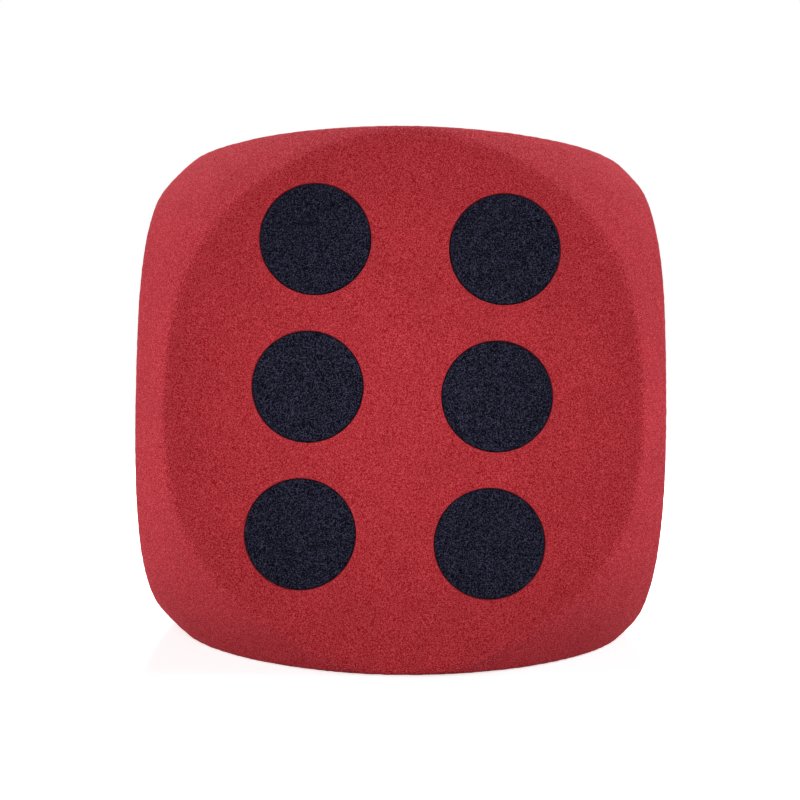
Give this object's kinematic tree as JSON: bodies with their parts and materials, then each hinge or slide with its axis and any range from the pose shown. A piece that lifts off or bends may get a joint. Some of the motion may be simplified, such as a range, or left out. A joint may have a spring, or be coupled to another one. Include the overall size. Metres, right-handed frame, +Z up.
{
  "type": "giant foam yard die",
  "caption": "Big soft foam throwing die with ground, ball-like corners and round inlaid pips, for lawn and yard games.",
  "frame": {"origin": "middle of the bottom of the box around the die, on the two face that it stands on", "axes": "+Z up through the five face, -Y out of the six face, +X out of the four face"},
  "size_m": [0.15, 0.15, 0.15],
  "materials": {
    "red_foam": "matte closed-cell foam with a fine skinless grain",
    "black_foam": "matte closed-cell foam with a fine skinless grain"
  },
  "bodies": {
    "root": {"foam_block": "red_foam", "one_pip_1": "black_foam", "two_pip_1": "black_foam", "two_pip_2": "black_foam", "three_pip_1": "black_foam", "three_pip_2": "black_foam", "three_pip_3": "black_foam", "four_pip_1": "black_foam", "four_pip_2": "black_foam", "four_pip_3": "black_foam", "four_pip_4": "black_foam", "five_pip_1": "black_foam", "five_pip_2": "black_foam", "five_pip_3": "black_foam", "five_pip_4": "black_foam", "five_pip_5": "black_foam", "six_pip_1": "black_foam", "six_pip_2": "black_foam", "six_pip_3": "black_foam", "six_pip_4": "black_foam", "six_pip_5": "black_foam", "six_pip_6": "black_foam"}
  },
  "joints": []
}
